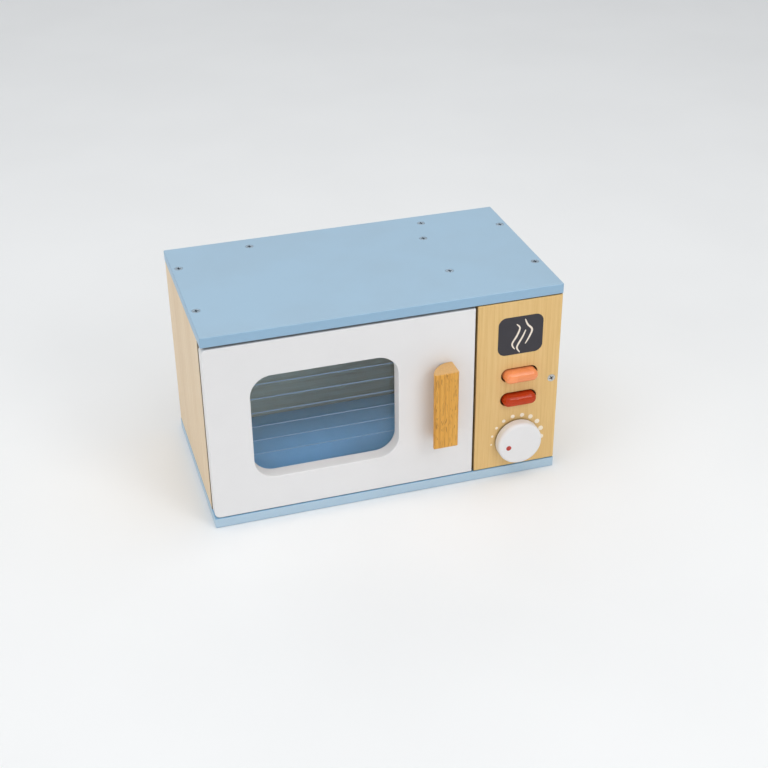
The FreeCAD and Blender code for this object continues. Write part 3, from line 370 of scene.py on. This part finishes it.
def metal(name, colour, roughness=0.3, brushed=(1, 1, 1), seed=0.0, tarnish=None, metallic=1.0, recess=None, recess_shade=0.92, ring=0.0):
    """Bright metal. recess = (coordinate, head's face in metres, direction inwards) darkens a screw's cross as painted
    shade; ring darkens the head's edge as painted shade.
    """
    s = Shader(name)
    s.bsdf.inputs["Metallic"].default_value = metallic
    p = s.mapped(scale=brushed, location=(seed, seed, 1))
    a = s.noise(600, p, detail=3, roughness=0.6)
    b = s.noise(160, p, detail=2)
    dark = tuple(c * 0.72 for c in colour[:3]) + (1,)
    base = s.mix(s.spread(b, 0.3, 0.72), colour, dark)
    if tarnish:
        base = s.mix(s.math("MULTIPLY", s.spread(a, 0.5, 0.75), 0.35), base, tarnish)
    # painted shade inside the screw's cross recess
    if recess:
        which, face, inwards = recess
        split = s.tree.nodes.new("ShaderNodeSeparateXYZ")
        s.link(s.coords, split.inputs[0])
        depth = s.math("MULTIPLY_ADD", split.outputs[which], inwards / MM, -face * inwards / MM)
        base = s.mix(s.math("MULTIPLY", s.spread(depth, 0.05, 0.55), recess_shade), base, srgb(46, 46, 50))
    # painted shade round the head's edge
    if ring:
        base = s.mix(s.math("MULTIPLY", s.edges(0.0008), ring), base, srgb(58, 74, 90))
    s.colour(base)
    s.rough(s.math("MULTIPLY_ADD", s.spread(a, 0.3, 0.7), 0.16, roughness - 0.08))
    s.normal(s.bump(a, 0.00002, 0.5))
    return s.mat


def printed(name, colour, roughness=0.5, tone=0.10, seed=0.0, weave=0.0):
    """Screen print: a thin, slightly uneven film of ink."""
    s = Shader(name, specular=0.45)
    p = s.mapped(location=(seed, 2 * seed, 1))
    cloud = s.noise(120, p, detail=3, roughness=0.6)
    dots = s.noise(1900, p, detail=1)
    light = tuple(min(1.0, c * (1 + tone)) for c in colour[:3]) + (1,)
    dark = tuple(c * (1 - tone) for c in colour[:3]) + (1,)
    base = s.mix(s.spread(cloud, 0.3, 0.7), dark, light)
    base = s.mix(s.math("MULTIPLY", s.spread(dots, 0.4, 0.7), 0.18), base, light)
    if weave:
        grain = s.noise(1, s.mapped(scale=(1400, 1400, 30)), detail=2, roughness=0.6)
        base = s.mix(s.math("MULTIPLY", s.spread(grain, 0.5, 0.75), weave), base, dark)
    s.colour(base)
    s.rough(s.math("MULTIPLY_ADD", s.spread(cloud, 0.3, 0.7), 0.12, roughness - 0.06))
    s.normal(s.bump(dots, 0.000008, 0.6))
    return s.mat


# Both boards carry one real paint; the differences between these two copies are painted light. On the top board the top
# face is paler than its edges as a painted sheen; on the bottom board the edges are paler than its faces as painted
# light, and its gaps get less painted shade.
BLUE = painted(
    "board_blue_paint", srgb(151, 184, 207), seed=1.3, roughness=0.34, specular=0.85, rim=srgb(143, 181, 209), tone=0.022
)
BASE_BLUE_PAINTED_LIGHT = painted(
    "base_board_blue_paint_painted_light", srgb(136, 182, 215), seed=2.3, roughness=0.38, specular=0.85, rim=srgb(178, 204, 222), gap_shade=0.1
)
WHITE = painted("door_white_paint", srgb(233, 232, 232), tone=0.010, seed=5.7, roughness=0.40, gap_shade=0.42)
WHITE_LACQUER = painted("dial_white_lacquer", srgb(235, 234, 234), tone=0.010, seed=9.1, roughness=0.33, stipple=0.006)

SIDE_WOOD = timber(
    "side_wood",
    srgb(242, 221, 190),
    srgb(233, 208, 173),
    srgb(217, 188, 148),
    axis="z",
    ring=0.0062,
    ring_depth=0.24,
    roughness=0.52,
    seed=2.0,
)
# Side wood for the left side panel, with stronger painted shade in its gaps and a painted dark band along its front
# edge, standing in for the shadow in the gap behind the door.
SIDE_WOOD_PAINTED_SHADE = timber(
    "side_wood_painted_shade",
    srgb(242, 221, 190),
    srgb(233, 208, 173),
    srgb(217, 188, 148),
    axis="z",
    ring=0.0062,
    ring_depth=0.24,
    roughness=0.52,
    seed=2.0,
    gap_shade=(0.78, 0.22, 0.92),
    front_edge_shade=(-0.0680, -0.0672),
)
INNER_WOOD = timber(
    "inner_wood",
    srgb(238, 214, 180),
    srgb(228, 200, 162),
    srgb(208, 176, 134),
    axis="x",
    ring=0.0058,
    ring_depth=0.28,
    roughness=0.55,
    seed=6.0,
)
PANEL_WOOD = timber(
    "panel_wood",
    srgb(234, 199, 138),
    srgb(229, 191, 127),
    srgb(218, 178, 111),
    axis="z",
    pith=(0.02, 0.42),
    ring=0.0034,
    ring_depth=0.18,
    fibre_depth=0.46,
    cloud_depth=0.20,
    roughness=0.48,
    seed=4.0,
)
HANDLE_WOOD = timber(
    "handle_wood",
    srgb(238, 182, 86),
    srgb(226, 165, 68),
    srgb(196, 132, 44),
    axis="z",
    pith=(-0.02, 0.12),
    ring=0.0034,
    ring_depth=0.24,
    fibre_depth=0.34,
    pores=0.7,
    pore_colour=srgb(150, 96, 32),
    roughness=0.42,
    coat=0.15,
    seed=1.0,
    relief=0.00007,
    wander=0.016,
    streak=0.10,
    cells=(1550, 84),
    end=srgb(226, 180, 118),
)
DOWEL_WOOD = timber(
    "dowel_wood",
    srgb(226, 200, 158),
    srgb(212, 182, 136),
    srgb(186, 150, 104),
    axis="y",
    ring=0.003,
    roughness=0.55,
    seed=3.0,
)

ORANGE = lacquered("button_orange_lacquer", srgb(252, 151, 94), srgb(255, 180, 132), seed=1.0, specular=0.2, coat=0.7)
RED = lacquered("button_red_lacquer", srgb(190, 60, 20), srgb(212, 98, 66), seed=2.0, specular=0.0, coat=0.55)

ZINC = metal("screw_zinc", srgb(196, 198, 198), 0.32, seed=1.0, tarnish=srgb(150, 152, 148))
# These screws get painted shade in their cross recesses.
ZINC_FRONT = metal(
    "face_screw_zinc", srgb(206, 206, 202), 0.40, seed=1.5, tarnish=srgb(168, 168, 164), metallic=0.55, recess=(1, -0.0833, 1)
)
# The top screws' blue tint is a painted reflection of the blue board round them; their cross and the line round each
# head are painted shade.
ZINC_TOP = metal(
    "top_screw_zinc", srgb(178, 196, 210), 0.42, seed=1.7, tarnish=srgb(150, 168, 182), metallic=0.55, recess=(2, 0.1778, -1), recess_shade=0.55, ring=0.7
)
ZINC_BASE = metal(
    "base_screw_zinc", srgb(206, 208, 208), 0.36, seed=1.9, tarnish=srgb(160, 162, 160), metallic=0.8, recess=(2, 0.0002, 1)
)
STEEL = metal("pin_steel", srgb(206, 206, 204), 0.24, (1, 1, 0.1), seed=2.0)
WIRE = metal("spring_wire", srgb(200, 202, 204), 0.26, seed=3.0)
NICKEL = metal("magnet_nickel", srgb(214, 210, 202), 0.20, seed=4.0)

DISPLAY_INK = printed("display_ink", srgb(49, 47, 54), roughness=0.46, tone=0.07, seed=1.0, weave=0.25)
CREAM_INK = printed("cream_ink", srgb(238, 226, 210), roughness=0.5, tone=0.04, seed=2.0)
SCALE_INK = printed("scale_ink", srgb(252, 238, 216), roughness=0.5, tone=0.03, seed=3.0)
POINTER_INK = printed("pointer_ink", srgb(188, 54, 42), roughness=0.42, tone=0.08, seed=4.0)
LINE_INK = printed("pane_line_ink", srgb(120, 146, 176), roughness=0.45, tone=0.05, seed=5.0)


def smoked(name, tint, let_in, roughness=0.02):
    """Tinted clear sheet. Lamps shine through it, so that the inside is lit."""
    s = Shader(name, specular=0.5)
    s.bsdf.inputs["Transmission Weight"].default_value = 1.0
    s.bsdf.inputs["IOR"].default_value = 1.49
    p = s.mapped()
    haze = s.noise(90, p, detail=3, roughness=0.6)
    smear = s.noise(1, s.mapped(scale=(60, 60, 14), rotation=(0, 0.5, 0)), detail=3, roughness=0.65)
    dark = tuple(c * 0.96 for c in tint[:3]) + (1,)
    s.colour(s.mix(s.spread(haze, 0.3, 0.7), dark, tint))
    s.rough(s.math("MULTIPLY_ADD", s.spread(smear, 0.4, 0.75), 0.05, roughness))
    s.normal(s.bump(s.noise(35, p, detail=1), 0.00006, 0.25))
    path = s.tree.nodes.new("ShaderNodeLightPath")
    clear = s.tree.nodes.new("ShaderNodeBsdfTransparent")
    clear.inputs["Color"].default_value = let_in
    both = s.tree.nodes.new("ShaderNodeMixShader")
    s.link(path.outputs["Is Shadow Ray"], both.inputs[0])
    s.link(s.bsdf.outputs[0], both.inputs[1])
    s.link(clear.outputs[0], both.inputs[2])
    s.link(both.outputs[0], s.out.inputs[0])
    return s.mat


PANE = smoked("smoked_pane", (0.50, 0.75, 1.0, 1), (0.95, 0.97, 0.99, 1))

nylon = Shader("nylon", roughness=0.45, specular=0.5)
nylon.colour(
    nylon.mix(nylon.spread(nylon.noise(500, nylon.coords), 0.3, 0.7), srgb(222, 219, 208), srgb(236, 234, 226))
)
nylon.normal(nylon.bump(nylon.noise(1500, nylon.coords, detail=2), 0.00002, 0.5))
nylon.bsdf.inputs["Subsurface Weight"].default_value = 0.15
nylon.bsdf.inputs["Subsurface Scale"].default_value = 0.001
NYLON = nylon.mat

felt = Shader("felt", roughness=0.95, specular=0.2)
fuzz = felt.noise(1300, felt.coords, detail=4, roughness=0.7)
felt.colour(felt.mix(felt.spread(fuzz, 0.3, 0.7), srgb(188, 182, 168), srgb(222, 216, 202)))
felt.normal(felt.bump(fuzz, 0.00025, 0.9))
felt.bsdf.inputs["Sheen Weight"].default_value = 0.4
FELT = felt.mat

for node, mat in {
    "top_panel": BLUE,
    "bottom_panel": BASE_BLUE_PAINTED_LIGHT,
    "door_panel": WHITE,
    "left_side_panel": SIDE_WOOD_PAINTED_SHADE,
    "right_side_panel": SIDE_WOOD,
    "back_panel": INNER_WOOD,
    "divider_panel": SIDE_WOOD,
    "control_panel": PANEL_WOOD,
    "control_panel_cleat": DOWEL_WOOD,
    "upper_spacer_rail": INNER_WOOD,
    "lower_spacer_rail": INNER_WOOD,
    "spring_board": INNER_WOOD,
    "door_handle": HANDLE_WOOD,
    "dial_shaft": DOWEL_WOOD,
    "dial_knob": WHITE_LACQUER,
    "upper_button": ORANGE,
    "lower_button": RED,
    "window_pane": PANE,
    "control_panel_screw": ZINC_FRONT,
    "cleat_screws": ZINC,
    "top_panel_screws": ZINC_TOP,
    "bottom_panel_screws": ZINC_BASE,
    "pane_screws": ZINC,
    "handle_screws": ZINC,
    "spring_board_screws": ZINC,
    "dial_screw": ZINC,
    "upper_hinge_pin": STEEL,
    "lower_hinge_pin": STEEL,
    "dial_washer": STEEL,
    "upper_button_spring": WIRE,
    "lower_button_spring": WIRE,
    "door_magnet": NICKEL,
    "cabinet_magnet": NICKEL,
    "hinge_washer": NYLON,
    "dial_felt_washer": FELT,
}.items():
    dress(node, mat)

# ------------------------------------------------------------------ printed marks
# Thin films of ink: each is a closed mesh with a softened rim, lying on what it is printed on.


def piece(name, mesh, mat, body):
    o = bpy.data.objects.new(name, mesh)
    scene.collection.objects.link(o)
    mesh.materials.append(mat)
    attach(o, body)
    return o


def film(name, outlines, y_back, thick, rim, mat, body):
    """Closed sheets facing the front. outlines are lists of (x, z) in millimetres, as seen from the front, counter-clockwise."""
    bm = bmesh.new()
    for outline in outlines:
        n = len(outline)
        inner = inset(outline, rim)
        rings = []
        for points, y in ((outline, y_back), (outline, y_back - thick * 0.55), (inner, y_back - thick)):
            rings.append([bm.verts.new(at(x, y, z)) for x, z in points])
        for a, b in zip(rings, rings[1:]):
            for i in range(n):
                j = (i + 1) % n
                bm.faces.new((a[i], a[j], b[j], b[i]))
        bm.faces.new(rings[-1])
        bm.faces.new(list(reversed(rings[0])))
    bmesh.ops.recalc_face_normals(bm, faces=bm.faces)
    bmesh.ops.triangulate(bm, faces=[f for f in bm.faces if len(f.verts) > 4])
    mesh = bpy.data.meshes.new(name)
    bm.to_mesh(mesh)
    bm.free()
    return piece(name, mesh, mat, body)


def inset(outline, d):
    n = len(outline)
    out = []
    for i in range(n):
        px, pz = outline[i - 1]
        x, z = outline[i]
        qx, qz = outline[(i + 1) % n]
        ax, az = x - px, z - pz
        bx, bz = qx - x, qz - z
        la, lb = math.hypot(ax, az) or 1, math.hypot(bx, bz) or 1
        nx, nz = -(az / la + bz / lb), (ax / la + bx / lb)
        ln = math.hypot(nx, nz) or 1
        out.append((x + nx / ln * d, z + nz / ln * d))
    return out


def round_box(cx, cz, w, h, r, steps=14):
    pts = []
    for sx, sz, start in ((1, 1, 0), (-1, 1, 90), (-1, -1, 180), (1, -1, 270)):
        for k in range(steps + 1):
            a = math.radians(start + 90 * k / steps)
            pts.append((cx + sx * (w / 2 - r) + r * math.cos(a), cz + sz * (h / 2 - r) + r * math.sin(a)))
    return pts


def disc(cx, cz, r, steps=40):
    return [(cx + r * math.cos(2 * math.pi * k / steps), cz + r * math.sin(2 * math.pi * k / steps)) for k in range(steps)]


def smooth_line(points, steps=12):
    """Points of a smooth curve through points."""
    pts = [points[0]] + list(points) + [points[-1]]
    out = []
    for i in range(1, len(pts) - 2):
        p0, p1, p2, p3 = pts[i - 1 : i + 3]
        for k in range(steps):
            t = k / steps
            out.append(
                tuple(
                    0.5
                    * (
                        2 * p1[c]
                        + (p2[c] - p0[c]) * t
                        + (2 * p0[c] - 5 * p1[c] + 4 * p2[c] - p3[c]) * t * t
                        + (3 * p1[c] - p0[c] - 3 * p2[c] + p3[c]) * t**3
                    )
                    for c in (0, 1)
                )
            )
    out.append(points[-1])
    return out


def brush_stroke(points, width, taper=0.45):
    """Outline of a stroke along points that narrows to rounded ends."""
    line = smooth_line(points)
    n = len(line)
    length = [0.0]
    for a, b in zip(line, line[1:]):
        length.append(length[-1] + math.hypot(b[0] - a[0], b[1] - a[1]))
    left, right = [], []
    for i, (x, z) in enumerate(line):
        a, b = line[max(0, i - 1)], line[min(n - 1, i + 1)]
        dx, dz = b[0] - a[0], b[1] - a[1]
        ln = math.hypot(dx, dz) or 1
        u = length[i] / length[-1]
        w = width / 2 * (taper + (1 - taper) * math.sin(math.pi * min(1, max(0, u))) ** 0.6)
        left.append((x - dz / ln * w, z + dx / ln * w))
        right.append((x + dz / ln * w, z - dx / ln * w))

    def cap(centre, frm, to):
        """Half round from one side of the stroke to the other."""
        a0 = math.atan2(frm[1] - centre[1], frm[0] - centre[0])
        a1 = math.atan2(to[1] - centre[1], to[0] - centre[0])
        while a1 <= a0:
            a1 += 2 * math.pi
        r = math.hypot(frm[0] - centre[0], frm[1] - centre[1])
        return [
            (centre[0] + r * math.cos(a0 + (a1 - a0) * k / 6), centre[1] + r * math.sin(a0 + (a1 - a0) * k / 6))
            for k in range(1, 6)
        ]

    return right + cap(line[-1], right[-1], left[-1]) + list(reversed(left)) + cap(line[0], left[0], right[0])


PANEL_FRONT = 0.0
# display: dark ink with three plain steam strokes
film(
    "display_print",
    [round_box(263.6, 136.6, 39.5, 35.0, 7.0)],
    PANEL_FRONT,
    0.06,
    0.10,
    DISPLAY_INK,
    "cabinet",
)
STEAM = [
    [(260.0, 146.9), (262.7, 143.2), (260.4, 136.6), (256.7, 130.4), (256.7, 127.4), (258.6, 124.3)],
    [(267.9, 140.6), (265.3, 134.6), (261.2, 127.3), (261.0, 124.2), (263.2, 120.8)],
    [(267.2, 150.6), (269.5, 145.5), (273.5, 140.4), (271.3, 133.8), (268.1, 128.1)],
]
film(
    "display_steam_print",
    [brush_stroke(points, 1.7) for points in STEAM],
    -0.06,
    0.05,
    0.12,
    CREAM_INK,
    "cabinet",
)

# dots round the dial, growing clockwise
DIAL = (264.0, 35.8)
SCALE = zip(
    (186, 165, 143.5, 122, 100.5, 79, 58, 36.5, 15, -6.5),
    (1.6, 2.2, 2.6, 3.1, 3.6, 3.9, 4.2, 4.4, 4.5, 4.6),
)
film(
    "dial_scale_print",
    [
        disc(DIAL[0] + 23.0 * math.cos(math.radians(a)), DIAL[1] + 23.0 * math.sin(math.radians(a)), d / 2)
        for a, d in SCALE
    ],
    PANEL_FRONT,
    0.07,
    0.15,
    SCALE_INK,
    "cabinet",
)

# pointer spot on the dial's face
film(
    "dial_pointer_print",
    [disc(DIAL[0] + 11.0 * math.cos(math.radians(191)), DIAL[1] + 11.0 * math.sin(math.radians(191)), 2.3)],
    -10.2,
    0.10,
    0.25,
    POINTER_INK,
    "dial",
)

# horizontal lines on the pane, across the whole of it
film(
    "pane_lines_print",
    [round_box(97.3, z, 127.0, w, w * 0.45, 4) for z, w in ((122.8, 0.75), (109.8, 0.75), (96.7, 0.75), (83.7, 0.7), (70.6, 0.6), (57.6, 0.5))],
    12.0,
    0.05,
    0.08,
    LINE_INK,
    "door",
)

# ------------------------------------------------------------------ button springs
# Compression springs wound from round wire: the end turns close up and lie flat, the
# turns between them are open.


def wire_spring(node):
    lo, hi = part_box(node)
    middle_x, middle_z = (lo[0] + hi[0]) / 2, (lo[2] + hi[2]) / 2
    thick = 0.00034
    radius = (hi[0] - lo[0]) / 2 - thick
    front, end = lo[1] + thick, hi[1] - thick
    turns, dead = 6.4, 0.9
    closed = 2 * thick * 1.04

    def along(t):
        """Distance from the front end after t turns."""
        whole = end - front
        open_part = whole - 2 * closed * dead
        if t < dead:
            return closed * t
        if t > turns - dead:
            return whole - closed * (turns - t)
        u = (t - dead) / (turns - 2 * dead)
        return closed * dead + open_part * u

    steps, sides = int(turns * 44), 14
    bm = bmesh.new()
    line = []
    for i in range(steps + 1):
        t = turns * i / steps
        a = 2 * math.pi * t
        line.append(Vector((middle_x + radius * math.cos(a), front + along(t), middle_z + radius * math.sin(a))))
    rings = []
    for i, c in enumerate(line):
        ahead = (line[min(i + 1, steps)] - line[max(i - 1, 0)]).normalized()
        out = Vector((c.x - middle_x, 0, c.z - middle_z)).normalized()
        out = (out - ahead * out.dot(ahead)).normalized()
        up = ahead.cross(out)
        # the cut ends are ground to a rounded tip
        taper = 1.0
        tip = min(i, steps - i)
        if tip < 3:
            taper = (0.55, 0.86, 0.97)[tip]
        rings.append(
            [
                bm.verts.new(c + (out * math.cos(2 * math.pi * k / sides) + up * math.sin(2 * math.pi * k / sides)) * thick * taper)
                for k in range(sides)
            ]
        )
    for a, b in zip(rings, rings[1:]):
        for k in range(sides):
            m = (k + 1) % sides
            bm.faces.new((a[k], a[m], b[m], b[k]))
    bm.faces.new(list(reversed(rings[0])))
    bm.faces.new(rings[-1])
    bmesh.ops.recalc_face_normals(bm, faces=bm.faces)
    mesh = bpy.data.meshes.new(node + "_wire")
    bm.to_mesh(mesh)
    bm.free()
    for f in mesh.polygons:
        f.use_smooth = len(f.vertices) == 4
    coil = piece(node + "_wire", mesh, WIRE, "cabinet")
    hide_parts(node)
    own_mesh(coil)
    return coil


wire_spring("upper_button_spring")
wire_spring("lower_button_spring")

# ------------------------------------------------------------------ floor, light, camera

floor = Shader("floor_paper", specular=0.25)
floor.colour(
    floor.mix(floor.spread(floor.noise(5, floor.coords, detail=2), 0.3, 0.7), srgb(244, 245, 245), srgb(246, 247, 247))
)
floor.rough(0.75)
bm = bmesh.new()
profile = []
for k in range(25):
    a = math.radians(90 * k / 24)
    profile.append((3.2 + 1.6 * math.sin(a), 1.6 - 1.6 * math.cos(a)))
profile = [(-6.0, 0.0), (-1.5, 0.0), (0.0, 0.0), (1.5, 0.0)] + profile + [(4.8, 4.5)]
rows = [[bm.verts.new((x, y, z)) for x in (-8, -2, 2, 8)] for y, z in profile]
for a, b in zip(rows, rows[1:]):
    for i in range(3):
        bm.faces.new((a[i], a[i + 1], b[i + 1], b[i]))
mesh = bpy.data.meshes.new("studio_floor")
bm.to_mesh(mesh)
bm.free()
for f in mesh.polygons:
    f.use_smooth = True
mesh.materials.append(floor.mat)
stage = bpy.data.objects.new("studio_floor", mesh)
scene.collection.objects.link(stage)

world = bpy.data.worlds.new("studio")
scene.world = world
world.use_nodes = True
back = world.node_tree.nodes["Background"]
back.inputs[0].default_value = (0.95, 0.97, 1.0, 1)
back.inputs[1].default_value = 0.48


def lamp(name, place, target, size, watts, colour=(1, 1, 1)):
    data = bpy.data.lights.new(name, "AREA")
    data.shape = "RECTANGLE"
    data.size, data.size_y = size
    data.energy = watts
    data.color = colour
    o = bpy.data.objects.new(name, data)
    scene.collection.objects.link(o)
    o.location = place
    o.rotation_mode = "QUATERNION"
    o.rotation_quaternion = (Vector(target) - Vector(place)).to_track_quat("-Z", "Y")
    return o


MIDDLE = (0.0, 0.0, 0.09)
lamp("key_light", (0.75, -1.50, 1.25), MIDDLE, (0.7, 0.7), 6.2, (1.0, 0.985, 0.97))
lamp("top_light", (-0.1, -0.35, 1.9), MIDDLE, (2.6, 1.8), 18.4, (1.0, 0.995, 0.99))
lamp("left_light", (-1.7, -0.5, 0.8), MIDDLE, (1.2, 1.2), 5.0, (0.98, 0.985, 1.0))
lamp("front_strip", (0.30, -2.0, 0.16), MIDDLE, (0.6, 0.20), 1.7, (1.0, 1.0, 1.0))
lamp("back_light", (0.3, 3.0, 2.3), MIDDLE, (3.0, 1.5), 12.0, (1.0, 1.0, 1.0))
# two little lamps under the oven's roof, one aimed at its floor, keep the inside from going dark behind the tinted pane
cavity = lamp("cavity_light", at(124, 74, 160), at(122, 84, 9), (0.14, 0.02), 0.0108, (1.0, 0.97, 0.94))
cavity.data.spread = math.radians(46)
fill = lamp("cavity_fill", at(97, 30, 152), at(97, 42, 9), (0.10, 0.02), 0.026, (1.0, 0.72, 0.50))
cavity.visible_camera = fill.visible_camera = False

camera_data = bpy.data.cameras.new("camera")
camera_data.sensor_width = 36.0
camera_data.lens = 62.8
camera_data.clip_start, camera_data.clip_end = 0.01, 50.0
camera = bpy.data.objects.new("camera", camera_data)
scene.collection.objects.link(camera)
right = Vector((0.95534068, -0.29533524, -0.01006397))
down = Vector((-0.15864864, -0.48386374, -0.86064307))
ahead = Vector((0.24930863, 0.82380397, -0.50910925))
place = at(-124.017, -892.076, 662.766)
camera.matrix_world = Matrix(
    (
        (right.x, -down.x, -ahead.x, place.x),
        (right.y, -down.y, -ahead.y, place.y),
        (right.z, -down.z, -ahead.z, place.z),
        (0, 0, 0, 1),
    )
)
scene.camera = camera

scene.view_settings.view_transform = "Standard"
scene.view_settings.look = "None"
scene.view_settings.exposure = 0.0
scene.view_settings.gamma = 1.0
